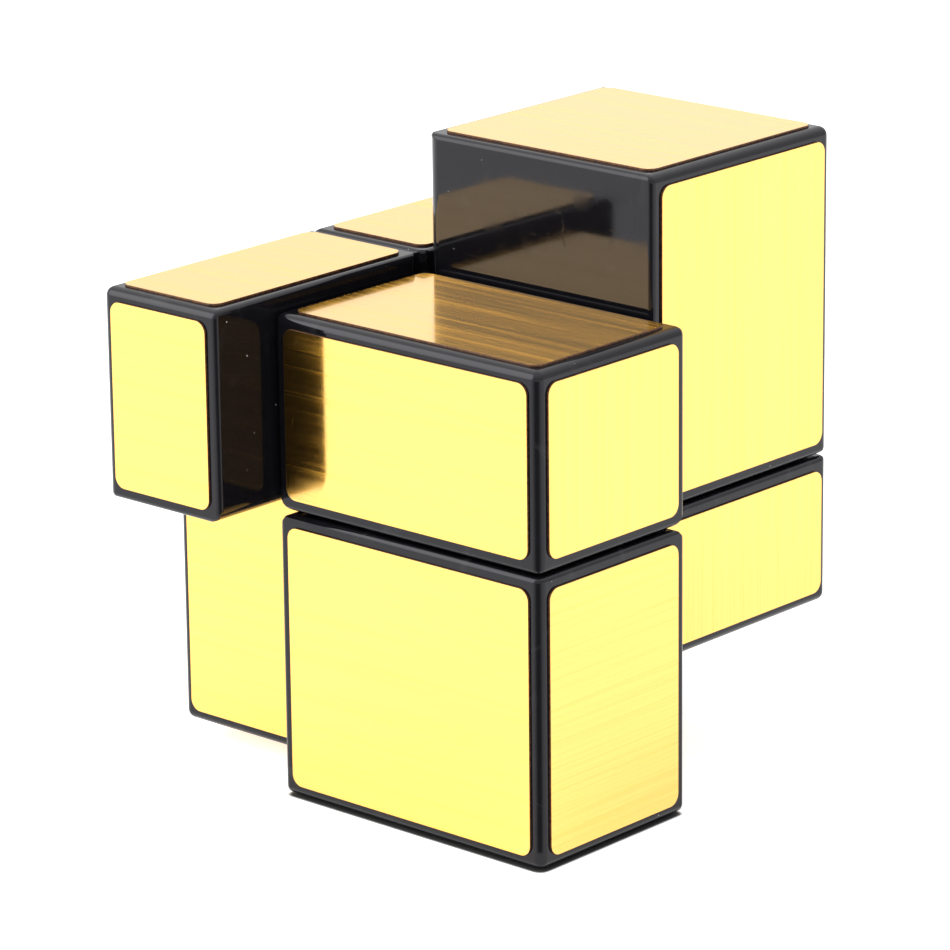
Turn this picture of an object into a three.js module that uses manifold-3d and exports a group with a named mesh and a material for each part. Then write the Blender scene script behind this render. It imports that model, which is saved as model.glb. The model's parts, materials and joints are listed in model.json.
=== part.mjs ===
// Mirror block cube: a 2 x 2 x 2 twisting puzzle whose eight corner blocks all have different sizes.
// Solved, the blocks make a plain cube; here the layers are turned, so the blocks stand out unevenly.
// Units are millimetres and +Z is up. Front is -Y, right is +X. The origin is under the middle of the
// bounding box, at the level of the lowest face. The turning centre is where the three cut planes meet.
//
// Inside, six centre caps turn on the arms of a core. Twelve inner edges run under the caps, and the feet
// of the corner blocks run under the inner edges. Everything is parted by spheres and planes about the
// turning centre, so any face can turn past the pieces that stay.
import * as THREE from "three";
import { mergeVertices } from "three/addons/utils/BufferGeometryUtils.js";
import { RoundedBoxGeometry } from "three/addons/geometries/RoundedBoxGeometry.js";
import Module from "manifold-3d";

const wasm = await Module();
wasm.setup();

// ---- the three pairs of layer thicknesses of the solved cube, each pair making one edge ----
const CUBE = 50;
const A1 = 15.8;
const A2 = CUBE - A1;
const B1 = 20.2;
const B2 = CUBE - B1;
const C1 = 21.9;
const C2 = CUBE - C1;

// ---- corner blocks and their films ----
const CUT_GAP = 0.3; // between two blocks across a cut plane
const EDGE_R = 1; // rounding of a block's edges
const WALL = 2; // wall of a hollow block
const FILM_T = 0.2; // brushed metal film
const ADHESIVE = 0.02; // glue under the film
const FILM_CUT_MARGIN = 1.4; // film edge to a cut plane
const FILM_OUTER_MARGIN = 1.45; // film edge to an outer edge of the block
const FILM_R = 1.2; // film corner radius

// ---- mechanism: spheres and planes about the turning centre ----
const RECESS_R = 14.5; // hollow that the blocks leave round the mechanism
const HEAD_R = 14.05; // outer sphere of caps and inner edges
const SHELL_R = 11.4; // parts the heads, outside, from the feet, inside
const FOOT_R = 8.55; // inner sphere of the feet
const HEAD_H = 5; // half width of the slot that the heads share
const FOOT_H = 3.4; // half width of the slot that the feet share
const PLAY = 0.15; // clearance each side of a parting surface
const UNDERCUT = 0.2; // play between the heads and the feet that run under them
const NECK_LAP = 0.5; // how far a neck is sunk into its foot
const SEAT_WALL = 1.8; // wall of a block round the recess
const FOOT_BORE_R = 0.8; // moulding bore from a foot's tip into the hollow block

// ---- core, caps and screws, measured along an arm from the turning centre ----
const BALL_R = 5.6;
const ARM_R = 2.9;
const ARM_END = 6.8;
const PILOT_R = 1.15;
const PILOT_START = 2.2;
const CAP_START = 7;
const CAP_FLOOR = 8.2; // floor that the spring presses on
const CAP_BORE_R = 2.45;
const CAP_HOLE_R = 1.2;
const CAP_STEM_R = FOOT_H - PLAY;
const CAP_HEAD_R = HEAD_H - PLAY;
const SCREW_TIP = 2.6;
const SHANK_R = 0.95;
const SCREW_HEAD_R = 2.1;
const SCREW_HEAD_START = 11.5;
const SCREW_HEAD_T = 1.1;
const DRIVE_WIDTH = 0.6;
const DRIVE_LENGTH = 2.6;
const DRIVE_DEPTH = 0.6;

const ROUND = 16; // segments round a cap, a screw or a bore
const SPHERE_ROUND = 24;
const REACH = 30; // longer than the mechanism, for cutting boxes

// ---- colours ----
const BLACK_ABS = new THREE.MeshStandardMaterial({ color: 0x121214, roughness: 0.22, metalness: 0 });
const GOLD_FILM = new THREE.MeshStandardMaterial({ color: 0xe8c75a, roughness: 0.28, metalness: 1 });
const WHITE_ABS = new THREE.MeshStandardMaterial({ color: 0xdedfd8, roughness: 0.5, metalness: 0 });
const GREY_ABS = new THREE.MeshStandardMaterial({ color: 0x3a3b3e, roughness: 0.45, metalness: 0 });
const STEEL = new THREE.MeshStandardMaterial({ color: 0xb9bcc0, roughness: 0.3, metalness: 1 });

const AXES = ["x", "y", "z"];
const SIDES = {
  x: { 1: "right", "-1": "left" },
  y: { 1: "back", "-1": "front" },
  z: { 1: "top", "-1": "bottom" },
};

// Every block stands in one octant about the turning centre, given by its signs. Its reach along each
// axis is one layer thickness of each pair, in the order that the turns have left it.
const BLOCKS = [
  { sign: [1, -1, 1], reach: [A2, C1, B1] },
  { sign: [-1, -1, 1], reach: [A1, B2, C1] },
  { sign: [1, 1, 1], reach: [B2, C2, A2] },
  { sign: [-1, 1, 1], reach: [A1, B1, C1] },
  { sign: [1, -1, -1], reach: [A2, C1, B2] },
  { sign: [-1, -1, -1], reach: [B1, A1, C2] },
  { sign: [1, 1, -1], reach: [B2, C2, A1] },
  { sign: [-1, 1, -1], reach: [B1, A2, C2] },
];

function solidOf(geometry) {
  const bare = geometry.clone();
  bare.deleteAttribute("normal");
  bare.deleteAttribute("uv");
  const merged = mergeVertices(bare, 1e-4);
  return new wasm.Manifold(
    new wasm.Mesh({
      numProp: 3,
      vertProperties: merged.attributes.position.array,
      triVerts: new Uint32Array(merged.index.array),
    }),
  );
}

function geometryOf(solid) {
  const mesh = solid.getMesh();
  const geometry = new THREE.BufferGeometry();
  geometry.setAttribute("position", new THREE.BufferAttribute(mesh.vertProperties, 3));
  geometry.setIndex(new THREE.BufferAttribute(mesh.triVerts, 1));
  geometry.computeVertexNormals();
  return geometry;
}

function ball(radius) {
  return solidOf(new THREE.SphereGeometry(radius, SPHERE_ROUND, SPHERE_ROUND / 2));
}

// The layer between two spheres.
function shell(inner, outer) {
  return ball(outer).subtract(ball(inner));
}

// A box given by its span along each axis.
function spanBox(spans) {
  const size = spans.map(([low, high]) => high - low);
  const geometry = new THREE.BoxGeometry(...size);
  return solidOf(geometry.translate(...spans.map(([low, high]) => (low + high) / 2)));
}

// A span from near to far on the side of zero that the sign gives.
function span(sign, near, far) {
  return sign > 0 ? [near, far] : [-far, -near];
}

// The part of an octant that is at least a given distance from all three planes.
function octant(sign, near) {
  return spanBox(sign.map((side) => span(side, near, REACH)));
}

// A round bar along a direction, from one distance from the turning centre to another.
function bar(direction, radius, from, to) {
  const geometry = new THREE.CylinderGeometry(radius, radius, to - from, ROUND);
  geometry.translate(0, (from + to) / 2, 0);
  const along = new THREE.Vector3(...direction).normalize();
  const turn = new THREE.Quaternion().setFromUnitVectors(new THREE.Vector3(0, 1, 0), along);
  return solidOf(geometry.applyQuaternion(turn));
}

// A piece made round its own Y axis, such as a cap, turned to point out of one side of the cube.
function pointOut(mesh, axis, side) {
  const out = new THREE.Vector3();
  out[axis] = side;
  mesh.quaternion.setFromUnitVectors(new THREE.Vector3(0, 1, 0), out);
  return mesh;
}

// ---- corner blocks ----

function blockBody({ sign, reach }) {
  const spans = sign.map((side, i) => span(side, CUT_GAP / 2, reach[i] - FILM_T - ADHESIVE));
  const size = spans.map(([low, high]) => high - low);
  const middle = spans.map(([low, high]) => (low + high) / 2);
  const outside = solidOf(new RoundedBoxGeometry(...size, 1, EDGE_R).translate(...middle));
  const hollow = spanBox(spans.map(([low, high]) => [low + WALL, high - WALL]));
  return outside.subtract(ball(RECESS_R)).subtract(hollow.subtract(ball(RECESS_R + SEAT_WALL)));
}

function blockFoot({ sign }) {
  const foot = octant(sign, FOOT_H + PLAY).intersect(shell(FOOT_R, SHELL_R - PLAY));
  const neckShell = shell(SHELL_R - PLAY - NECK_LAP, RECESS_R + SEAT_WALL / 2);
  const neck = octant(sign, HEAD_H + PLAY).intersect(neckShell);
  return foot.add(neck);
}

function cornerBlock(block) {
  const bore = bar(block.sign, FOOT_BORE_R, FOOT_R - 1, RECESS_R + SEAT_WALL + 1);
  const solid = blockBody(block).add(blockFoot(block)).subtract(bore);
  return new THREE.Mesh(geometryOf(solid), BLACK_ABS);
}

// ---- films: one on each outer face of a block ----

function filmShape(width, height) {
  const x = width / 2 - FILM_R;
  const y = height / 2 - FILM_R;
  const quarter = Math.PI / 2;
  const shape = new THREE.Shape();
  shape.absarc(x, y, FILM_R, 0, quarter);
  shape.absarc(-x, y, FILM_R, quarter, 2 * quarter);
  shape.absarc(-x, -y, FILM_R, 2 * quarter, 3 * quarter);
  shape.absarc(x, -y, FILM_R, 3 * quarter, 4 * quarter);
  return shape;
}

function film({ sign, reach }, axis) {
  const across = [(axis + 1) % 3, (axis + 2) % 3];
  const spans = across.map((i) => span(sign[i], FILM_CUT_MARGIN, reach[i] - FILM_OUTER_MARGIN));
  const [width, height] = spans.map(([low, high]) => high - low);
  const geometry = new THREE.ExtrudeGeometry(filmShape(width, height), {
    depth: FILM_T,
    curveSegments: 2,
    bevelEnabled: false,
  });
  const mesh = new THREE.Mesh(geometry.translate(0, 0, -FILM_T / 2), GOLD_FILM);
  const units = [0, 1, 2].map((i) => new THREE.Vector3().setComponent(i, 1));
  const basis = new THREE.Matrix4().makeBasis(units[across[0]], units[across[1]], units[axis]);
  mesh.quaternion.setFromRotationMatrix(basis);
  mesh.position.setComponent(axis, sign[axis] * (reach[axis] - FILM_T / 2));
  across.forEach((i, k) => mesh.position.setComponent(i, (spans[k][0] + spans[k][1]) / 2));
  return mesh;
}

// ---- inner edges: a foot under two caps, and a head over two corner feet ----

function innerEdge(sign) {
  const region = (slot, feet) =>
    spanBox(sign.map((side) => (side ? span(side, slot + PLAY, REACH) : [-feet, feet])));
  const narrow = FOOT_H - PLAY;
  const foot = region(FOOT_H, narrow).intersect(shell(FOOT_R, SHELL_R - PLAY));
  const neck = region(HEAD_H, narrow).intersect(shell(SHELL_R - PLAY - NECK_LAP, SHELL_R + 1));
  const head = region(HEAD_H, HEAD_H - PLAY).intersect(shell(SHELL_R + UNDERCUT, HEAD_R));
  return new THREE.Mesh(geometryOf(foot.add(neck).add(head)), GREY_ABS);
}

// ---- centre caps, screws and core ----

function capHeight(radius, sphere) {
  return Math.sqrt(sphere * sphere - radius * radius);
}

function centreCap() {
  const under = SHELL_R + UNDERCUT;
  const middle = (CAP_BORE_R + CAP_HEAD_R) / 2;
  const profile = [
    [CAP_HOLE_R, CAP_START],
    [CAP_STEM_R, CAP_START],
    [CAP_STEM_R, capHeight(CAP_STEM_R, under)],
    [CAP_HEAD_R, capHeight(CAP_HEAD_R, under)],
    [CAP_HEAD_R, capHeight(CAP_HEAD_R, HEAD_R)],
    [middle, capHeight(middle, HEAD_R)],
    [CAP_BORE_R, capHeight(CAP_BORE_R, HEAD_R)],
    [CAP_BORE_R, CAP_FLOOR],
    [CAP_HOLE_R, CAP_FLOOR],
    [CAP_HOLE_R, CAP_START],
  ].map(([radius, height]) => new THREE.Vector2(radius, height));
  return new THREE.Mesh(new THREE.LatheGeometry(profile, ROUND), GREY_ABS);
}

function screw() {
  const headTop = SCREW_HEAD_START + SCREW_HEAD_T;
  const profile = [
    [0, SCREW_TIP],
    [SHANK_R, SCREW_TIP + 1],
    [SHANK_R, SCREW_HEAD_START],
    [SCREW_HEAD_R, SCREW_HEAD_START],
    [SCREW_HEAD_R, headTop - 0.3],
    [SCREW_HEAD_R - 0.5, headTop],
    [0, headTop],
  ].map(([radius, height]) => new THREE.Vector2(radius, height));
  const drive = [headTop - DRIVE_DEPTH, headTop + 1];
  const narrow = [-DRIVE_WIDTH / 2, DRIVE_WIDTH / 2];
  const long = [-DRIVE_LENGTH / 2, DRIVE_LENGTH / 2];
  const cross = spanBox([narrow, drive, long]).add(spanBox([long, drive, narrow]));
  const turned = solidOf(new THREE.LatheGeometry(profile, ROUND));
  return new THREE.Mesh(geometryOf(turned.subtract(cross)), STEEL);
}

function core() {
  let solid = ball(BALL_R);
  const directions = AXES.flatMap((_, i) => [1, -1].map((side) => [0, 0, 0].with(i, side)));
  for (const direction of directions) solid = solid.add(bar(direction, ARM_R, 0, ARM_END));
  for (const direction of directions) {
    solid = solid.subtract(bar(direction, PILOT_R, PILOT_START, ARM_END + 1));
  }
  return new THREE.Mesh(geometryOf(solid), WHITE_ABS);
}

// ---- assembly ----

// The sides that a piece faces, such as "top_front_right".
function sidesOf(sign) {
  const order = [2, 1, 0].filter((i) => sign[i] !== 0);
  return order.map((i) => SIDES[AXES[i]][sign[i]]).join("_");
}

function named(mesh, name) {
  mesh.name = name;
  return mesh;
}

const mechanism = new THREE.Group();
mechanism.add(named(core(), "core"));
for (const axis of AXES) {
  for (const side of [1, -1]) {
    mechanism.add(named(pointOut(centreCap(), axis, side), `centre_cap_${SIDES[axis][side]}`));
    mechanism.add(named(pointOut(screw(), axis, side), `screw_${SIDES[axis][side]}`));
  }
}
for (const still of [0, 1, 2]) {
  for (const first of [1, -1]) {
    for (const second of [1, -1]) {
      const sign = [first, second];
      sign.splice(still, 0, 0);
      mechanism.add(named(innerEdge(sign), `inner_edge_${sidesOf(sign)}`));
    }
  }
}

const outside = new THREE.Group();
for (const block of BLOCKS) {
  const place = sidesOf(block.sign);
  outside.add(named(cornerBlock(block), `block_${place}`));
  AXES.forEach((axis, i) => {
    outside.add(named(film(block, i), `film_${place}_on_${SIDES[axis][block.sign[i]]}`));
  });
}

// The farthest reach of any block towards one side of the turning centre.
function farthest(axis, side) {
  return Math.max(...BLOCKS.filter(({ sign }) => sign[axis] === side).map(({ reach }) => reach[axis]));
}

const cube = new THREE.Group();
cube.add(mechanism, outside);
cube.position.set(
  (farthest(0, -1) - farthest(0, 1)) / 2,
  (farthest(1, -1) - farthest(1, 1)) / 2,
  farthest(2, -1),
);
const part = new THREE.Group();
part.add(cube);

export default part;
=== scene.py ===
import json
import math

import bmesh
import bpy
import numpy as np
from mathutils import Matrix, Vector


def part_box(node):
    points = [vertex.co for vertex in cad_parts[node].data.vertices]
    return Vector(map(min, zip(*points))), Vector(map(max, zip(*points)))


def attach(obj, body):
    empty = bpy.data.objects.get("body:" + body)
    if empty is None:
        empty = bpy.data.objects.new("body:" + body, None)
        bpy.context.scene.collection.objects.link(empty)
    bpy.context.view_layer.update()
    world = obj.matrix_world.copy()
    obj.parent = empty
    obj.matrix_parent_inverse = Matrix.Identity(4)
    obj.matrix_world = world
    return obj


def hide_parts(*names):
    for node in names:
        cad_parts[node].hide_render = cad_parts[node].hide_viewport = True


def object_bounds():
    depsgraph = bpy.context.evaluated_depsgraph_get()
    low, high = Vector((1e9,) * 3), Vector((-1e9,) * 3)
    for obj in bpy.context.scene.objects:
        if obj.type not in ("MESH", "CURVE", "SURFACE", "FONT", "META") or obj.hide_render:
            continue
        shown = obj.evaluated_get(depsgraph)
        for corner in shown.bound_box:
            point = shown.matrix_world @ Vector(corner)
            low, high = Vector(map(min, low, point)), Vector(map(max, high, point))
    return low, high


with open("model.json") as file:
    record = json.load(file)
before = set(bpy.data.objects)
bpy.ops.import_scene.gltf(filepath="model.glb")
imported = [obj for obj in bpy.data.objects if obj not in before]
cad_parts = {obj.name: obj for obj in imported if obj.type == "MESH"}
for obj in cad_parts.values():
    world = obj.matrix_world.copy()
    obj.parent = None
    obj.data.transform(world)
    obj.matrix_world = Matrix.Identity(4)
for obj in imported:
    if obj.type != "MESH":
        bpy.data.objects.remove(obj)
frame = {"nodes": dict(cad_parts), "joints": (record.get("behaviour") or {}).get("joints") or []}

CAD_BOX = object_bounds()
MM = 0.001
SCENE = bpy.context.scene
CENTRE = Vector(frame["joints"][0]["pos_m"])  # where every turning axis meets

# Sides of the cube: name -> (axis, sign)
SIDES = {
    "right": (0, 1), "left": (0, -1), "back": (1, 1),
    "front": (1, -1), "top": (2, 1), "bottom": (2, -1),
}

# ---- blocks and films, in mm ----
CUBE = 50.0               # edge of the solved cube: the two layers of each direction add up to it
CUT_EDGE_R = 1.8          # rounding between two cut faces
OUTER_EDGE_R = 0.95       # rounding between two outer faces, two thirds as wide as the strip beside a film
LAYER_EDGE_R = 0.6        # rounding between an outer face and a cut face
EDGE_STEPS = 6
SAME_PLACE = 1e-6         # metres, closer coordinates are the same
FILM_R = 1.2              # corner radius of a film
FILM_CORNER_STEPS = 10
FILM_BEVEL = 0.035        # width of the film's die-cut edge
FILM_BEVEL_BOW = 0.3      # how far in from its corner the bevel's middle lies, as a share of its width
FILM_SHARP_ANGLE = 50     # degrees
TURNED_FILM = ("bottom_front_right", 0)  # block and normal axis of the film whose sheet lay the other way
BRUSH_STRIDE = (71.0, 43.0)  # from one film's stretch of brushing to the next, across and along it
GRAZING_GOLD = (1.0, 0.9, 0.7, 1)  # what the gold keeps of its tint at a glancing angle

# ---- mechanism: spheres and planes about the turning centre, in mm ----
RECESS_R = 14.5           # hollow of the blocks
HEAD_R = 14.05            # outside of the heads of caps and inner edges
SHELL_R = 11.4            # between the heads and the feet
FOOT_R = 8.55             # inside of the feet
HEAD_H = 5.0              # from a middle plane to where two heads part
FOOT_H = 3.4              # and to where two feet part
PLAY = 0.15               # half the gap between two pieces
UNDERCUT = 0.2            # play between the heads and what runs under them
NECK_LAP = 0.5            # how far a neck is sunk into the piece it joins
SEAT_WALL = 1.8           # wall of a block round its hollow
BORE_R = 0.8              # moulding bore along the diagonal of a foot
BORE_STEPS = 32
REACH = 30.0              # out past the whole mechanism
PAST = 1.0                # how far a tool runs past what it cuts or joins
SPHERE_STEPS = 96
SMALL_BEVEL = 0.14        # broken edges of the moulded inner parts
BROKEN_ANGLE = 38         # degrees, sharper edges are broken
FLAT_ANGLE = 0.5          # degrees, flatter edges are dissolved first
WELD = 0.004              # closer points are joined before that

# ---- core, caps, screws and springs, in mm along an arm ----
BALL_R = 5.6
ARM_R = 2.9
ARM_END = 6.8
ARM_CHAMFER = 0.2
PILOT_R = 1.15
PILOT_START = 2.2
PILOT_CONE = 0.6          # length of the hole's conical bottom
PILOT_CHAMFER = 0.25
CAP_START = 7.0
CAP_FLOOR = 8.2
CAP_BORE_R = 2.45
CAP_HOLE_R = 1.2
DOME_INSET = 0.3          # from the cap's corners to the first points between them
DOME_STEPS = 4
SCREW_TIP = 2.6
SHANK_R = 0.95
TIP_SHARE = 0.25          # the shank's radius at its tip
TIP_LENGTH = 1.1          # and the length in which it would grow by a whole radius
THREAD_DEPTH = 0.16
THREAD_PITCH = 0.7
THREAD_CREST = 4.5        # steepness of the thread's flanks
THREAD_FADE = 1.6         # where the thread runs out under the head
THREAD_ROWS = 14          # in each turn
SCREW_STEPS = 40
SCREW_HEAD_R = 2.1
SCREW_HEAD_START = 11.5
PAN_HEAD = ((0.06, 0.0), (0.0, 0.06), (0.0, 0.42), (0.12, 0.76), (0.5, 1.0), (1.0, 1.1))  # inset, height
DRIVE_WIDTH = 0.6
DRIVE_LENGTH = 2.6
DRIVE_DEPTH = 0.6
WIRE_R = 0.17
WIRE_STEPS = 10
COIL_R = 1.75
COIL_TURNS = 5.5
COIL_STEPS = 36           # in each turn
COIL_GAP = 0.02           # play above and below the spring
COIL_CLOSED = 0.13        # share of the wire that lies closed at each end
COIL_CLOSED_PITCH = 1.02  # rise of a closed turn, in wire diameters
COIL_SHARP_ANGLE = 60     # degrees
SHARP_ANGLE = 32          # degrees, sharper edges stay sharp in the shading
ROUND_STEPS = 64

# ---- camera ----
LENS = 194.75             # mm
SENSOR = 36.0             # mm
CLIP = (0.05, 20.0)       # metres
CAMERA_AZIMUTH = 41.92    # degrees, 0 looks along +Y
CAMERA_ELEVATION = 16.956
CAMERA_ROLL = -0.642
CAMERA_DISTANCE = 516.03  # mm from the point that the view axis passes
AIM_RIGHT = -1.771        # mm from the middle of the box, in the picture plane
AIM_UP = -2.779

# ---- light ----
HORIZON = 1.15            # radiance of the studio level with the floor
ZENITH = 2.1              # and overhead
SKY_RISE = (0.3, 0.95)    # upward part of a direction, from HORIZON to ZENITH
GLOW = 3.9                # what the soft light adds at its middle
GLOW_AZIMUTH = -40.0      # degrees, as for the camera
GLOW_ELEVATION = 25.0
GLOW_ANGLES = (36.0, 3.0)  # degrees from its middle, where it begins and where it is at its full strength
FLOOR_R = 4000.0          # mm
FLOOR_GLOW = 0.6          # light that the white table gives off itself
DARK_REFLECTION_AZIMUTH = 35.0       # the card of painted dark reflection fans out from the front right edge
DARK_REFLECTION_SPREAD = 60.0        # degrees to each side
DARK_REFLECTION_RADII = (4.0, 420.0)  # mm
DARK_REFLECTION_LIFT = 0.4           # mm above the floor
DARK_REFLECTION_STEPS = 24
DARK_REFLECTION_FADE = (0.2, 1.0)    # share of the spread in which it fades out
CONTACT_REACH = 0.65      # mm, how far from a block the painted contact shadow on the table reaches
CONTACT_SHARES = (0.57, 1.0)  # open share of the table's sky, from full painted contact shadow to full light
CONTACT_PATCH = 60.0      # mm round the turning centre within which a block can come near the table


# ======================================================================= mesh helpers

def link(name, mesh):
    obj = bpy.data.objects.new(name, mesh)
    SCENE.collection.objects.link(obj)
    return obj


def object_of(name, bm):
    bmesh.ops.recalc_face_normals(bm, faces=bm.faces)
    mesh = bpy.data.meshes.new(name)
    bm.to_mesh(mesh)
    bm.free()
    return link(name, mesh)


def apply_modifiers(obj):
    """Bakes the object's modifiers into its mesh."""
    graph = bpy.context.evaluated_depsgraph_get()
    made = bpy.data.meshes.new_from_object(obj.evaluated_get(graph))
    obj.modifiers.clear()
    old, obj.data = obj.data, made
    bpy.data.meshes.remove(old)
    return obj


def combine(obj, tool, operation):
    """Cuts tool from obj, adds it or keeps what both share, and removes the tool."""
    modifier = obj.modifiers.new("combine", "BOOLEAN")
    modifier.operation = operation
    modifier.solver = "MANIFOLD"
    modifier.object = tool
    apply_modifiers(obj)
    bpy.data.objects.remove(tool)
    return obj


def span_box(spans):
    """A box given by its span along each axis, in metres."""
    bm = bmesh.new()
    corners = [[(x, y, z) for z in spans[2]] for x in spans[0] for y in spans[1]]
    verts = [bm.verts.new(p) for row in corners for p in row]
    for face in ((0, 1, 3, 2), (4, 6, 7, 5), (0, 4, 5, 1), (2, 3, 7, 6), (0, 2, 6, 4), (1, 5, 7, 3)):
        bm.faces.new([verts[i] for i in face])
    return object_of("box", bm)


def ball(radius, centre=(0, 0, 0)):
    bm = bmesh.new()
    bmesh.ops.create_uvsphere(bm, u_segments=SPHERE_STEPS, v_segments=SPHERE_STEPS // 2, radius=radius * MM)
    bmesh.ops.translate(bm, verts=bm.verts, vec=centre)
    return object_of("ball", bm)


def shell(inner, outer):
    return combine(ball(outer), ball(inner), "DIFFERENCE")


def turns(steps):
    """The angles of a full turn in equal steps."""
    return [2 * math.pi * i / steps for i in range(steps)]


def level_ring(bm, radius, height, steps, centre=(0, 0, 0)):
    """Points round the vertical axis through centre, radius and height in mm. Radius 0 gives one point."""
    x, y, z = centre
    return [
        bm.verts.new((x + radius * MM * math.cos(turn), y + radius * MM * math.sin(turn), z + height * MM))
        for turn in turns(steps if radius > 0 else 1)
    ]


def lathe(name, profile):
    """A body of revolution about +Z from (radius, height) points in mm. A point of radius 0 closes an end."""
    bm = bmesh.new()
    rings = [level_ring(bm, radius, height, ROUND_STEPS) for radius, height in profile]
    join_rings(bm, rings, closed=profile[0][0] > 0)
    return object_of(name, bm)


def join_rings(bm, rings, closed):
    """Faces between each ring and the next, and between the last and the first where it is closed."""
    pairs = list(zip(rings, rings[1:]))
    if closed:
        pairs.append((rings[-1], rings[0]))
    for a, b in pairs:
        count = max(len(a), len(b))
        for i in range(count):
            j = (i + 1) % count
            quad = [a[i % len(a)], a[j % len(a)], b[j % len(b)], b[i % len(b)]]
            bm.faces.new(list(dict.fromkeys(quad)))


def rounded_profile(points, radius, steps=3):
    """The closed outline with its corners rounded, each by at most a third of its shorter side."""
    out = []
    count = len(points)
    for i, p in enumerate(points):
        here = Vector(p)
        before, after = Vector(points[i - 1]) - here, Vector(points[(i + 1) % count]) - here
        cut = min(radius, before.length / 3, after.length / 3)
        start, end = here + before.normalized() * cut, here + after.normalized() * cut
        for k in range(steps + 1):
            t = k / steps
            out.append(tuple(start * (1 - t) ** 2 + here * 2 * t * (1 - t) + end * t * t))
    return out


def break_edges(obj):
    """A small rounding on every sharp edge, as a mould leaves."""
    bm = bmesh.new()
    bm.from_mesh(obj.data)
    bmesh.ops.remove_doubles(bm, verts=bm.verts, dist=WELD * MM)
    bmesh.ops.dissolve_limit(bm, angle_limit=math.radians(FLAT_ANGLE), verts=bm.verts, edges=bm.edges)
    bm.to_mesh(obj.data)
    bm.free()
    modifier = obj.modifiers.new("break", "BEVEL")
    modifier.width = SMALL_BEVEL * MM
    modifier.segments = 2
    modifier.limit_method = "ANGLE"
    modifier.angle_limit = math.radians(BROKEN_ANGLE)
    return apply_modifiers(obj)


def smooth(obj, angle=SHARP_ANGLE):
    """Smooth shading that keeps wide flat faces flat and edges over the angle sharp."""
    mesh = obj.data
    mesh.shade_smooth()
    mesh.set_sharp_from_angle(angle=math.radians(angle))
    modifier = obj.modifiers.new("flat faces stay flat", "WEIGHTED_NORMAL")
    modifier.mode = "FACE_AREA"
    modifier.weight = 100
    modifier.keep_sharp = True
    return obj


def place(obj, matrix):
    """Moves the mesh itself, so that the object stays at the origin of the row frame."""
    obj.data.transform(matrix)
    if matrix.determinant() < 0:
        obj.data.flip_normals()
    return obj


def outward(side):
    """Turns +Z to the given side of the turning centre."""
    axis, sign = SIDES[side]
    side_axis = Vector([sign if i == axis else 0 for i in range(3)])
    turn = side_axis.to_track_quat("Z", "Y" if axis != 1 else "X").to_matrix().to_4x4()
    return Matrix.Translation(CENTRE) @ turn


def finish_piece(obj, body, materials, nodes=()):
    """Gives a piece its materials and its body, and hides the nodes that it stands for."""
    slots = obj.data.materials
    for index, material in enumerate(materials):
        if index < len(slots):
            slots[index] = material
        else:
            slots.append(material)
    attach(obj, body)
    if nodes:
        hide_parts(*nodes)
    return obj


# ======================================================================= node helpers

class Tree:
    """The node tree of a material or world, with short calls for the nodes that are used here."""

    def __init__(self, owner, output="ShaderNodeOutputMaterial"):
        owner.use_nodes = True
        self.owner = owner
        self.tree = owner.node_tree
        self.tree.nodes.clear()
        self.output = self.tree.nodes.new(output)

    def node(self, kind, settings=None, **inputs):
        node = self.tree.nodes.new(kind)
        for key, value in (settings or {}).items():
            setattr(node, key, value)
        for key, value in inputs.items():
            self.feed(node.inputs[key.replace("_", " ")], value)
        return node

    def feed(self, socket, value):
        if isinstance(value, bpy.types.NodeSocket):
            self.tree.links.new(value, socket)
        else:
            socket.default_value = value

    def position(self):
        return self.node("ShaderNodeTexCoord").outputs["Object"]

    def position_mm(self):
        return self.scaled(self.position(), (1 / MM,) * 3)

    def scaled(self, vector, scale, offset=(0, 0, 0)):
        return self.node("ShaderNodeMapping", Vector=vector, Scale=scale, Location=offset).outputs[0]

    def noise(self, vector, scale, detail=2.0, roughness=0.5, distortion=0.0):
        node = self.node("ShaderNodeTexNoise", Vector=vector, Scale=scale, Detail=detail,
                         Roughness=roughness, Distortion=distortion)
        return node.outputs["Fac"]

    def spread(self, value, low, high, to_low=0.0, to_high=1.0):
        """Maps value from low..high to to_low..to_high along a smooth step, held at the ends."""
        return self.node("ShaderNodeMapRange", {"interpolation_type": "SMOOTHSTEP"}, Value=value,
                         From_Min=low, From_Max=high, To_Min=to_low, To_Max=to_high).outputs["Result"]

    def math(self, operation, a, b=0.0):
        node = self.node("ShaderNodeMath", {"operation": operation})
        self.feed(node.inputs[0], a)
        self.feed(node.inputs[1], b)
        return node.outputs[0]

    def blend(self, share, a, b):
        """A colour between a and b. Inputs 6 and 7 and output 2 are the node's sockets for colours."""
        node = self.node("ShaderNodeMix", {"data_type": "RGBA"})
        self.feed(node.inputs[0], share)
        self.feed(node.inputs[6], a)
        self.feed(node.inputs[7], b)
        return node.outputs[2]

    def total(self, first, *rest):
        for term in rest:
            first = self.math("ADD", first, term)
        return first

    def bump(self, height, distance, normal=None):
        """A bump of the given depth in mm, on top of another one where a normal is given."""
        node = self.node("ShaderNodeBump", Height=height, Distance=distance * MM, Strength=1.0)
        if normal is not None:
            self.feed(node.inputs["Normal"], normal)
        return node.outputs[0]

    def principled(self, **inputs):
        return self.node("ShaderNodeBsdfPrincipled", **inputs).outputs[0]

    def mix(self, share, first, second):
        """A shader between two others."""
        node = self.node("ShaderNodeMixShader")
        for socket, value in zip(node.inputs, (share, first, second)):
            self.feed(socket, value)
        return node.outputs[0]

    def done(self, shader):
        self.feed(self.output.inputs["Surface"], shader)
        return self.owner


def material_tree(name):
    return Tree(bpy.data.materials.new(name))


# ======================================================================= materials

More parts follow.
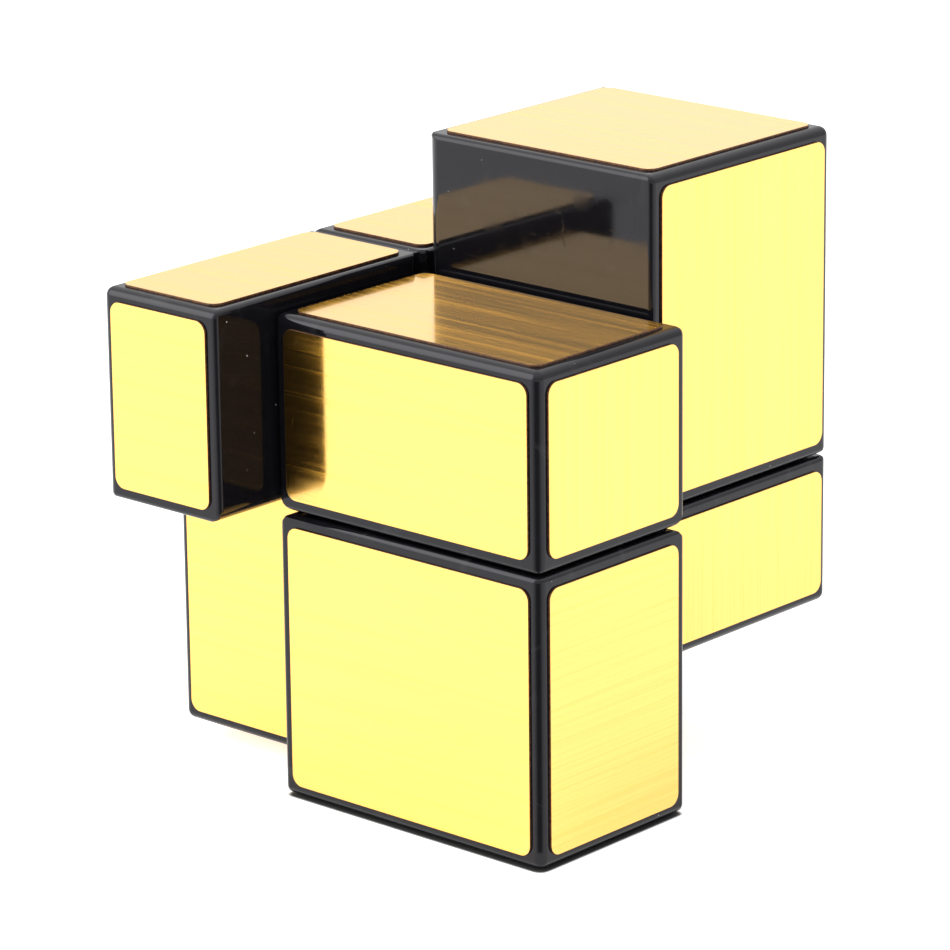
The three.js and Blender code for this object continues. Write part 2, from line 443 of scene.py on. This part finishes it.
def black_plastic():
    """Glossy black ABS: waviness of the moulding, hairline scratches, smears, haze and a few dust specks."""
    t = material_tree("gloss_black_abs")
    mm = t.position_mm()
    wave = t.noise(mm, 0.1, detail=1.0)
    orange_peel = t.noise(mm, 1.3, detail=2.0)
    hairlines = [
        t.spread(t.noise(t.scaled(mm, scale), 1.0, detail=3.0, roughness=0.6), 0.69, 0.74)
        for scale in ((6.0, 0.25, 0.6), (0.5, 6.5, 0.3), (0.3, 0.7, 7.0))
    ]
    scratched = t.math("MAXIMUM", t.math("MAXIMUM", *hairlines[:2]), hairlines[2])
    smear = t.spread(t.noise(mm, 0.22, detail=3.0, distortion=1.2), 0.42, 0.68)
    dust = t.spread(t.noise(mm, 2.6, detail=0.0), 0.9, 0.91)
    haze = t.spread(t.noise(mm, 0.13, detail=2.0, distortion=2.2), 0.6, 0.8)
    mottled = t.blend(t.noise(mm, 0.5), (0.0028, 0.0028, 0.0037, 1), (0.0052, 0.005, 0.0066, 1))
    hazy = t.blend(haze, mottled, (0.013, 0.0135, 0.015, 1))
    colour = t.blend(dust, hazy, (0.42, 0.42, 0.42, 1))
    rough = t.total(
        t.spread(smear, 0.0, 1.0, 0.06, 0.11), t.math("MULTIPLY", scratched, 0.1),
        t.math("MULTIPLY", dust, 0.5), t.math("MULTIPLY", haze, 0.05),
    )
    normal = t.bump(wave, 0.014)
    normal = t.bump(orange_peel, 0.0007, normal)
    normal = t.bump(scratched, 0.001, normal)
    return t.done(t.principled(
        Base_Color=colour, Roughness=rough, Normal=normal,
        IOR=1.5, Specular_IOR_Level=0.28, Specular_Tint=(0.94, 0.94, 1.0, 1),
    ))


def gold_film():
    """Brushed metallised film: a mirror, and fine scratches along the brushing that scatter light across it.
    The map "brush" runs across the brushing in u and along it in v, in mm."""
    t = material_tree("brushed_gold_film")
    brush = t.node("ShaderNodeUVMap", {"uv_map": "brush"}).outputs[0]
    fine, lines, coarse, bands = [
        t.noise(t.scaled(brush, (*scale, 1.0), (*offset, 0.0)), 1.0, detail=1.0)
        for scale, offset in (
            ((7.0, 0.03), (0.0, 0.0)), ((2.6, 0.02), (17.0, 3.0)),
            ((1.25, 0.016), (31.0, 7.0)), ((0.5, 0.012), (5.0, 9.0)),
        )
    ]
    mixed = t.total(t.math("MULTIPLY", fine, 0.4), t.math("MULTIPLY", lines, 0.6))
    gold = t.blend(t.spread(mixed, 0.32, 0.68), (1.0, 0.575, 0.12, 1), (1.0, 0.595, 0.135, 1))
    rough = t.total(t.spread(mixed, 0.3, 0.7, 0.1, 0.14), t.spread(bands, 0.3, 0.7, -0.01, 0.01))
    brushed = {
        "Metallic": 1.0,
        "Specular_Tint": GRAZING_GOLD,
        "Normal": t.bump(mixed, 0.0003),
        "Tangent": t.node("ShaderNodeTangent", {"direction_type": "UV_MAP", "uv_map": "brush"}).outputs[0],
    }
    mirror = t.principled(Base_Color=gold, Roughness=rough, Anisotropic=1.0,
                          Coat_Weight=1.0, Coat_Roughness=0.06, **brushed)
    scratch = t.blend(t.spread(mixed, 0.3, 0.7), (0.97, 0.49, 0.05, 1), (1.0, 0.54, 0.07, 1))
    broad = t.principled(Base_Color=scratch, Roughness=0.44, Anisotropic=0.95, **brushed)
    share = t.total(
        t.spread(lines, 0.53, 0.66, 0.055, 0.13), t.spread(fine, 0.54, 0.74, 0.0, 0.14),
        t.spread(coarse, 0.54, 0.62, 0.0, 0.09), t.spread(bands, 0.35, 0.65, 0.0, 0.03),
    )
    return t.done(t.mix(share, mirror, broad))


def film_edge():
    """The die-cut edge of the film, where the lacquer shows orange brown."""
    t = material_tree("film_cut_edge")
    grain = t.noise(t.position_mm(), 3.0, detail=2.0)
    colour = t.blend(t.spread(grain, 0.35, 0.65), (0.05, 0.02, 0.009, 1), (0.12, 0.05, 0.016, 1))
    rough = t.spread(grain, 0.3, 0.7, 0.32, 0.5)
    return t.done(t.principled(Base_Color=colour, Metallic=0.35, Roughness=rough))


def moulded(name, dark, light, rough, grease=0.0):
    """A moulded inner part: slightly uneven colour, a satin skin, and a film of grease where it rubs."""
    t = material_tree(name)
    mm = t.position_mm()
    cloud = t.noise(mm, 0.6, detail=3.0)
    skin = t.noise(mm, 9.0, detail=2.0)
    wiped = t.spread(t.noise(mm, 0.35, detail=1.0, distortion=0.6), 0.4, 0.7)
    colour = t.blend(t.spread(cloud, 0.3, 0.7), dark, light)
    satin = t.spread(skin, 0.3, 0.7, rough - 0.04, rough + 0.05)
    roughness = t.math("SUBTRACT", satin, t.math("MULTIPLY", wiped, grease))
    return t.done(t.principled(Base_Color=colour, Roughness=roughness, Normal=t.bump(skin, 0.004), IOR=1.49))


def plated_steel():
    """Zinc-plated steel, cloudy and finely grained."""
    t = material_tree("plated_steel")
    mm = t.position_mm()
    cloud = t.noise(mm, 1.4, detail=4.0)
    grain = t.noise(mm, 14.0, detail=2.0)
    colour = t.blend(t.spread(cloud, 0.35, 0.65), (0.50, 0.50, 0.53, 1), (0.68, 0.69, 0.70, 1))
    rough = t.spread(grain, 0.3, 0.7, 0.24, 0.36)
    return t.done(t.principled(Base_Color=colour, Metallic=1.0, Roughness=rough, Normal=t.bump(grain, 0.002)))


def floor_paper(name, near):
    """White table that gives off a little light. Near the object a contact shadow is painted into its colour
    and its glow, by ambient occlusion where something stands on it.
    """
    t = material_tree(name)
    cloud = t.noise(t.position_mm(), 0.02, detail=2.0)
    colour = t.blend(t.spread(cloud, 0.3, 0.7), (0.615, 0.615, 0.615, 1), (0.63, 0.63, 0.63, 1))
    glow = FLOOR_GLOW
    if near:
        # painted contact shadow: where ambient occlusion finds a block close by, the colour fades to near
        # black and the glow to nothing
        occlusion = t.node("ShaderNodeAmbientOcclusion", {"samples": 16}, Distance=CONTACT_REACH * MM)
        lit = t.spread(occlusion.outputs["AO"], *CONTACT_SHARES)
        colour = t.blend(lit, (0.03, 0.03, 0.028, 1), colour)
        glow = t.math("MULTIPLY", lit, FLOOR_GLOW)
    return t.done(t.principled(Base_Color=colour, Roughness=0.9,
                               Emission_Color=(1, 1, 1, 1), Emission_Strength=glow))


def painted_reflection_card_black():
    """Dark card that fades out to both sides and paints a dark reflection where reflections see it. The map
    "fan" runs from -1 to 1 round the object in u.
    """
    t = material_tree("painted_reflection_card_black")
    cloud = t.noise(t.position(), 20.0)
    colour = t.blend(cloud, (0.05, 0.048, 0.045, 1), (0.08, 0.077, 0.07, 1))
    fan = t.node("ShaderNodeUVMap", {"uv_map": "fan"}).outputs[0]
    across = t.node("ShaderNodeSeparateXYZ", Vector=fan).outputs[0]
    fade = t.spread(t.math("ABSOLUTE", across), *DARK_REFLECTION_FADE)
    clear = t.node("ShaderNodeBsdfTransparent").outputs[0]
    return t.done(t.mix(fade, t.principled(Base_Color=colour, Roughness=0.9), clear))


BLACK = black_plastic()
GOLD = gold_film()
FILM_EDGE = film_edge()
GREY = moulded("satin_grey_acetal", (0.034, 0.035, 0.038, 1), (0.040, 0.041, 0.044, 1), 0.4, grease=0.1)
WHITE = moulded("satin_white_abs", (0.74, 0.74, 0.70, 1), (0.78, 0.78, 0.745, 1), 0.45)
STEEL = plated_steel()


# ======================================================================= corner blocks

def signs_of(name):
    """The sign along each axis of the sides that a name such as top_front_right lists, or 0."""
    signs = [0, 0, 0]
    for side in name.split("_"):
        axis, sign = SIDES[side]
        signs[axis] = sign
    return signs


def rounded_body(name, signs):
    """The outside of a block: each edge's rounding goes by how many of its two faces are cut faces."""
    low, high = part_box("block_" + name)
    body = span_box([(low[i], high[i]) for i in range(3)])
    bm = bmesh.new()
    bm.from_mesh(body.data)
    weight = bm.edges.layers.float.new("bevel_weight_edge")
    middle = (low + high) / 2
    for edge in bm.edges:
        at = (edge.verts[0].co + edge.verts[1].co) / 2 - middle
        beside = [i for i in range(3) if abs(at[i]) > SAME_PLACE]
        cut_faces = sum(at[i] * signs[i] < 0 for i in beside)
        edge[weight] = (OUTER_EDGE_R, LAYER_EDGE_R, CUT_EDGE_R)[cut_faces] / CUT_EDGE_R
    bm.to_mesh(body.data)
    bm.free()
    modifier = body.modifiers.new("round", "BEVEL")
    modifier.width = CUT_EDGE_R * MM
    modifier.segments = EDGE_STEPS
    modifier.limit_method = "WEIGHT"
    modifier.offset_type = "OFFSET"
    return apply_modifiers(body)


def octant(near):
    """A box from near to REACH along all three axes, in mm."""
    return span_box([(near * MM, REACH * MM)] * 3)


def block_foot():
    """Foot and neck of the block of the right back top octant, about the turning centre."""
    foot = combine(octant(FOOT_H + PLAY), shell(FOOT_R, SHELL_R - PLAY), "INTERSECT")
    neck_shell = shell(SHELL_R - PLAY - NECK_LAP, RECESS_R + SEAT_WALL / 2)
    neck = combine(octant(HEAD_H + PLAY), neck_shell, "INTERSECT")
    return combine(foot, neck, "UNION")


def foot_bore(signs):
    """The moulding bore along the octant's diagonal, as a tool that cuts it."""
    diagonal = Vector(signs).normalized()
    start = (FOOT_R - PAST) * MM
    end = (RECESS_R + SEAT_WALL + PAST) * MM
    bm = bmesh.new()
    bmesh.ops.create_cone(bm, cap_ends=True, segments=BORE_STEPS, radius1=BORE_R * MM, radius2=BORE_R * MM,
                          depth=end - start)
    middle = diagonal * (end + start) / 2
    turn = diagonal.to_track_quat("Z", "Y").to_matrix().to_4x4()
    bmesh.ops.transform(bm, matrix=Matrix.Translation(CENTRE + middle) @ turn, verts=bm.verts)
    return object_of("bore", bm)


def corner_block(name, foot_mesh):
    """A corner block, hollow round the mechanism, with its foot."""
    signs = signs_of(name)
    body = rounded_body(name, signs)
    body = combine(body, ball(RECESS_R, CENTRE), "DIFFERENCE")
    foot = link("foot", foot_mesh.copy())
    place(foot, Matrix.Translation(CENTRE) @ Matrix.Diagonal((*signs, 1)))
    body = combine(body, foot, "UNION")
    body = combine(body, foot_bore(signs), "DIFFERENCE")
    body.name = "black_shell_" + name
    smooth(body)
    return finish_piece(body, "corner_" + name, [BLACK], ["block_" + name])


# ======================================================================= films

def brush_axis(name, film_axis):
    """Every film is brushed along its block's most unequal layer direction, or along the next one where
    that direction is the film's normal."""
    signs = signs_of(name)
    uneven = []
    for axis in range(3):
        low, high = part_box(f"film_{name}_on_{side_name(axis, signs[axis])}")
        outer = high[axis] if signs[axis] > 0 else low[axis]
        uneven.append((abs(abs(outer - CENTRE[axis]) / MM - CUBE / 2), axis))
    ranked = [axis for _, axis in sorted(uneven, reverse=True) if axis != film_axis]
    return ranked[(name, film_axis) == TURNED_FILM]


def side_name(axis, sign):
    return next(side for side, value in SIDES.items() if value == (axis, sign))


def rounded_rectangle(width, height, radius):
    """Points round a rectangle about the origin, in metres."""
    points = []
    for k, (sx, sy) in enumerate(((1, 1), (-1, 1), (-1, -1), (1, -1))):
        x, y = sx * (width / 2 - radius), sy * (height / 2 - radius)
        for i in range(FILM_CORNER_STEPS + 1):
            angle = math.pi / 2 * (k + i / FILM_CORNER_STEPS)
            points.append((x + radius * math.cos(angle), y + radius * math.sin(angle)))
    return points


def film_plate(low, high, axis, sign):
    """A thin plate with round corners and a bevelled outer face, which has material 0 and the rest 1."""
    across = [(axis + 1) % 3, (axis + 2) % 3]
    width, height = [high[i] - low[i] for i in across]
    thick = high[axis] - low[axis]
    middle = (low + high) / 2
    bevel = FILM_BEVEL * MM
    levels = [
        (0.0, -thick / 2),
        (0.0, thick / 2 - bevel),
        (bevel * FILM_BEVEL_BOW, thick / 2 - bevel * FILM_BEVEL_BOW),
        (bevel, thick / 2),
    ]
    bm = bmesh.new()
    rings = []
    for inset, level in levels:
        outline = rounded_rectangle(width - 2 * inset, height - 2 * inset, FILM_R * MM - inset)
        ring = []
        for u, v in outline:
            p = Vector(middle)
            p[across[0]] += u
            p[across[1]] += v
            p[axis] += sign * level
            ring.append(bm.verts.new(p))
        rings.append(ring)
    join_rings(bm, rings, closed=False)
    for face in bm.faces:
        face.material_index = 1
    bm.faces.new(rings[0]).material_index = 1
    bm.faces.new(rings[-1]).material_index = 0
    return bm


def film(name, side, index):
    """The film on one side of a block. The index chooses its stretch of brushing."""
    node = f"film_{name}_on_{side}"
    axis, sign = SIDES[side]
    low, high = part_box(node)
    bm = film_plate(low, high, axis, sign)
    add_brush_map(bm, name, axis, index)
    obj = object_of(f"gold_film_{name}_on_{side}", bm)
    smooth(obj, FILM_SHARP_ANGLE)
    return finish_piece(obj, "corner_" + name, [GOLD, FILM_EDGE], [node])


def add_brush_map(bm, name, axis, index):
    """Lays the map "brush": u across the brushing and v along it, in mm, a new stretch for each film."""
    along = brush_axis(name, axis)
    cross = 3 - axis - along
    layer = bm.loops.layers.uv.new("brush")
    for face in bm.faces:
        for loop in face.loops:
            p = loop.vert.co / MM
            loop[layer].uv = (p[cross] + BRUSH_STRIDE[0] * index, p[along] + BRUSH_STRIDE[1] * index)


# ======================================================================= mechanism

def inner_edge_mesh():
    """The inner edge between right and back, at the height of the turning centre."""
    def region(slot, half):
        away = ((slot + PLAY) * MM, REACH * MM)
        return span_box([away, away, (-half * MM, half * MM)])

    narrow = FOOT_H - PLAY
    foot = combine(region(FOOT_H, narrow), shell(FOOT_R, SHELL_R - PLAY), "INTERSECT")
    neck = combine(region(HEAD_H, narrow), shell(SHELL_R - PLAY - NECK_LAP, SHELL_R + PAST), "INTERSECT")
    head = combine(region(HEAD_H, HEAD_H - PLAY), shell(SHELL_R + UNDERCUT, HEAD_R), "INTERSECT")
    piece = combine(combine(foot, neck, "UNION"), head, "UNION")
    return break_edges(piece)


def inner_edge(name, prototype):
    """A copy of the prototype, turned or mirrored to lie between the two sides that the name lists."""
    signs = signs_of(name)
    still = signs.index(0)
    first, second = [i for i in range(3) if i != still]
    turn = Matrix.Identity(4)
    for column, (axis, sign) in enumerate(((first, signs[first]), (second, signs[second]), (still, 1))):
        for row in range(3):
            turn[row][column] = sign if row == axis else 0
    obj = link("turning_edge_" + name, prototype.copy())
    place(obj, Matrix.Translation(CENTRE) @ turn)
    smooth(obj)
    return finish_piece(obj, "inner_edge_" + name, [GREY], ["inner_edge_" + name])


def sphere_height(radius, sphere):
    """How high a sphere about the turning centre stands at a radius from the axis."""
    return math.sqrt(sphere * sphere - radius * radius)


def cap_profile():
    """Section of a centre cap: stem, head under the outer sphere, and the bore for spring and screw."""
    stem = FOOT_H - PLAY
    head = HEAD_H - PLAY
    under = SHELL_R + UNDERCUT
    dome = [
        (radius, sphere_height(radius, HEAD_R))
        for radius in np.linspace(head - DOME_INSET, CAP_BORE_R + DOME_INSET, DOME_STEPS)
    ]
    sharp = [
        (CAP_HOLE_R, CAP_START), (stem, CAP_START), (stem, sphere_height(stem, under)),
        (head, sphere_height(head, under)), (head, sphere_height(head, HEAD_R)), *dome,
        (CAP_BORE_R, sphere_height(CAP_BORE_R, HEAD_R)), (CAP_BORE_R, CAP_FLOOR), (CAP_HOLE_R, CAP_FLOOR),
    ]
    return rounded_profile(sharp, SMALL_BEVEL)


def threaded_ring(bm, height):
    """The shank's outline at one height. The thread's crest runs once round it for each pitch."""
    root = SHANK_R - THREAD_DEPTH
    fade = min(1.0, (SCREW_HEAD_START - height) / THREAD_FADE)
    taper = min(1.0, TIP_SHARE + (height - SCREW_TIP) / TIP_LENGTH)
    ring = []
    for i, turn in enumerate(turns(SCREW_STEPS)):
        phase = ((height - SCREW_TIP) / THREAD_PITCH - i / SCREW_STEPS) % 1.0
        crest = max(0.0, 1.0 - abs(phase - 0.5) * THREAD_CREST)
        radius = (root + THREAD_DEPTH * crest * fade) * taper
        ring.append(bm.verts.new((radius * MM * math.cos(turn), radius * MM * math.sin(turn), height * MM)))
    return ring


def screw_mesh():
    """A cross-recessed pan-head screw along +Z: thread-forming shank, then the head."""
    bm = bmesh.new()
    length = SCREW_HEAD_START - SCREW_TIP
    rows = int(length / THREAD_PITCH * THREAD_ROWS)
    top = SCREW_HEAD_START + PAN_HEAD[-1][1]
    rings = [level_ring(bm, 0, SCREW_TIP, SCREW_STEPS)]
    rings += [threaded_ring(bm, SCREW_TIP + length * row / rows) for row in range(rows + 1)]
    rings += [
        level_ring(bm, SCREW_HEAD_R - inset, SCREW_HEAD_START + height, SCREW_STEPS)
        for inset, height in PAN_HEAD
    ]
    rings.append(level_ring(bm, 0, top, SCREW_STEPS))
    join_rings(bm, rings, closed=False)
    screw = object_of("screw", bm)
    for x, y in ((DRIVE_LENGTH, DRIVE_WIDTH), (DRIVE_WIDTH, DRIVE_LENGTH)):
        depth = ((top - DRIVE_DEPTH) * MM, (top + PAST) * MM)
        slot = span_box([(-x / 2 * MM, x / 2 * MM), (-y / 2 * MM, y / 2 * MM), depth])
        screw = combine(screw, slot, "DIFFERENCE")
    return screw


def coil_height(t):
    """Height of the wire's middle at a share t of its length: closed turns at both ends, open between."""
    low = CAP_FLOOR + WIRE_R + COIL_GAP
    high = SCREW_HEAD_START - WIRE_R - COIL_GAP
    closed = 2 * WIRE_R * COIL_CLOSED_PITCH * COIL_TURNS * COIL_CLOSED
    start = min(t / COIL_CLOSED, 1)
    rise = np.clip((t - COIL_CLOSED) / (1 - 2 * COIL_CLOSED), 0, 1)
    end = max(t - (1 - COIL_CLOSED), 0) / COIL_CLOSED
    return low + start * closed + (high - low - 2 * closed) * rise + end * closed


def spring_mesh():
    """A compression spring along +Z with closed ends, between the cap's floor and the screw head."""
    bm = bmesh.new()
    count = int(COIL_TURNS * COIL_STEPS)
    upward = Vector((0, 0, 1))
    rings = []
    for k in range(count + 1):
        t = k / count
        turn = 2 * math.pi * COIL_TURNS * t
        out = Vector((math.cos(turn), math.sin(turn), 0))
        middle = out * COIL_R + upward * coil_height(t)
        rings.append([
            bm.verts.new((middle + (out * math.cos(a) + upward * math.sin(a)) * WIRE_R) * MM)
            for a in turns(WIRE_STEPS)
        ])
    join_rings(bm, rings, closed=False)
    bm.faces.new(rings[0])
    bm.faces.new(rings[-1])
    return object_of("spring", bm)


def core_mesh():
    """A ball with an arm on each side, and a hole for a screw in each arm."""
    core = ball(BALL_R)
    arm = [
        (0, 0), (ARM_R, 0), (ARM_R, ARM_END - ARM_CHAMFER),
        (ARM_R - ARM_CHAMFER, ARM_END), (0, ARM_END),
    ]
    mouth_r = PILOT_R + PILOT_CHAMFER
    pilot = [
        (0, PILOT_START), (PILOT_R / 2, PILOT_START), (PILOT_R, PILOT_START + PILOT_CONE),
        (PILOT_R, ARM_END - PILOT_CHAMFER), (mouth_r, ARM_END),
        (mouth_r, ARM_END + PAST), (0, ARM_END + PAST),
    ]
    for profile, operation in ((arm, "UNION"), (pilot, "DIFFERENCE")):
        for side in SIDES:
            tool = lathe("tool", profile)
            place(tool, outward(side))
            place(tool, Matrix.Translation(-CENTRE))
            core = combine(core, tool, operation)
    return place(core, Matrix.Translation(CENTRE))


# ======================================================================= assembly

def build_blocks():
    """The eight corner blocks, each with its three films."""
    foot = block_foot()
    foot_mesh = foot.data
    bpy.data.objects.remove(foot)
    index = 0
    for z in ("top", "bottom"):
        for y in ("front", "back"):
            for x in ("right", "left"):
                name = f"{z}_{y}_{x}"
                corner_block(name, foot_mesh)
                for side in (z, y, x):
                    index += 1
                    film(name, side, index)


def build_mechanism():
    """The core, and round it the inner edges, caps, screws and springs."""
    core = core_mesh()
    core.name = "turning_core"
    smooth(core)
    finish_piece(core, "core", [WHITE], ["core"])
    edge = inner_edge_mesh()
    names = [name[len("inner_edge_"):] for name in frame["nodes"] if name.startswith("inner_edge_")]
    for name in sorted(names):
        inner_edge(name, edge.data)
    bpy.data.objects.remove(edge)
    screw, spring = screw_mesh(), spring_mesh()
    for side in SIDES:
        cap = place(lathe("turning_cap_" + side, cap_profile()), outward(side))
        smooth(cap)
        finish_piece(cap, "cap_" + side, [GREY], ["centre_cap_" + side])
        turned = place(link("tension_screw_" + side, screw.data.copy()), outward(side))
        smooth(turned)
        finish_piece(turned, "core", [STEEL], ["screw_" + side])
        coil = place(link("tension_spring_" + side, spring.data.copy()), outward(side))
        smooth(coil, COIL_SHARP_ANGLE)
        finish_piece(coil, "core", [STEEL])
    bpy.data.objects.remove(screw)
    bpy.data.objects.remove(spring)


# ======================================================================= stage, light and camera

def direction(azimuth, elevation=0.0):
    """The unit vector from the object that way, in degrees. Azimuth 0 is the front, 90 the right."""
    around, above = math.radians(azimuth), math.radians(elevation)
    return Vector((
        math.sin(around) * math.cos(above),
        -math.cos(around) * math.cos(above),
        math.sin(above),
    ))


def add_camera():
    back = direction(CAMERA_AZIMUTH, CAMERA_ELEVATION)
    level = direction(CAMERA_AZIMUTH + 90)
    upright = back.cross(level)
    roll = math.radians(CAMERA_ROLL)
    right = level * math.cos(roll) + upright * math.sin(roll)
    up = back.cross(right)
    low, high = CAD_BOX
    aim = (low + high) / 2 + (right * AIM_RIGHT + up * AIM_UP) * MM
    data = bpy.data.cameras.new("camera")
    data.lens = LENS
    data.sensor_width = SENSOR
    data.clip_start, data.clip_end = CLIP
    camera = link("camera", data)
    turn = Matrix((right, up, back)).transposed().to_4x4()
    camera.matrix_world = Matrix.Translation(aim + back * CAMERA_DISTANCE * MM) @ turn
    SCENE.camera = camera


def add_floor():
    """A disc on the ground, in a near patch with the painted contact shadow and the wide rest."""
    bm = bmesh.new()
    middle = (CENTRE.x, CENTRE.y, 0)
    rings = [level_ring(bm, radius, 0, ROUND_STEPS, middle) for radius in (0.0, CONTACT_PATCH, FLOOR_R)]
    join_rings(bm, rings, closed=False)
    for face in bm.faces:
        face.material_index = 0 if len(face.verts) == 3 else 1
    floor = object_of("floor", bm)
    floor.data.materials.append(floor_paper("pale_floor_painted_contact_shadow", near=True))
    floor.data.materials.append(floor_paper("pale_floor", near=False))


def add_painted_dark_reflection_card():
    """A dark card fanned out just above the floor from the front right edge, which only reflections see: it
    paints a dark reflection and casts no shadow.
    """
    low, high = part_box("block_bottom_front_right")
    apex = Vector((high.x, low.y, DARK_REFLECTION_LIFT * MM))
    bm = bmesh.new()
    layer = bm.loops.layers.uv.new("fan")
    rows = []
    for k in range(DARK_REFLECTION_STEPS + 1):
        across = 2 * k / DARK_REFLECTION_STEPS - 1
        out = direction(DARK_REFLECTION_AZIMUTH + DARK_REFLECTION_SPREAD * across)
        rows.append((across, [bm.verts.new(apex + out * r * MM) for r in DARK_REFLECTION_RADII]))
    for (u0, a), (u1, b) in zip(rows, rows[1:]):
        face = bm.faces.new((a[0], a[1], b[1], b[0]))
        for loop, u in zip(face.loops, (u0, u0, u1, u1)):
            loop[layer].uv = (u, 0.0)
    card = object_of("painted_dark_reflection_card", bm)
    card.data.materials.append(painted_reflection_card_black())
    # painted dark reflection: the card is hidden from the camera, from diffuse light and from shadows, so
    # only glossy rays meet it
    for ray in ("camera", "diffuse", "transmission", "volume_scatter", "shadow"):
        setattr(card, "visible_" + ray, False)


def add_world():
    """A white studio, brighter overhead, with one wide soft light low in front to the left."""
    world = bpy.data.worlds.new("studio")
    SCENE.world = world
    t = Tree(world, "ShaderNodeOutputWorld")
    looked = t.node("ShaderNodeTexCoord").outputs["Generated"]
    height = t.node("ShaderNodeSeparateXYZ", Vector=looked).outputs["Z"]
    dot = t.node("ShaderNodeVectorMath", {"operation": "DOT_PRODUCT"})
    t.feed(dot.inputs[0], looked)
    t.feed(dot.inputs[1], direction(GLOW_AZIMUTH, GLOW_ELEVATION))
    rim, heart = [math.cos(math.radians(angle)) for angle in GLOW_ANGLES]
    sky = t.spread(height, *SKY_RISE, HORIZON, ZENITH)
    glow = t.spread(dot.outputs["Value"], rim, heart, 0.0, GLOW)
    background = t.node("ShaderNodeBackground", Color=(1, 1, 1, 1), Strength=t.total(sky, glow))
    t.done(background.outputs[0])


build_blocks()
build_mechanism()
add_floor()
add_painted_dark_reflection_card()
add_world()
add_camera()
SCENE.view_settings.view_transform = "Standard"
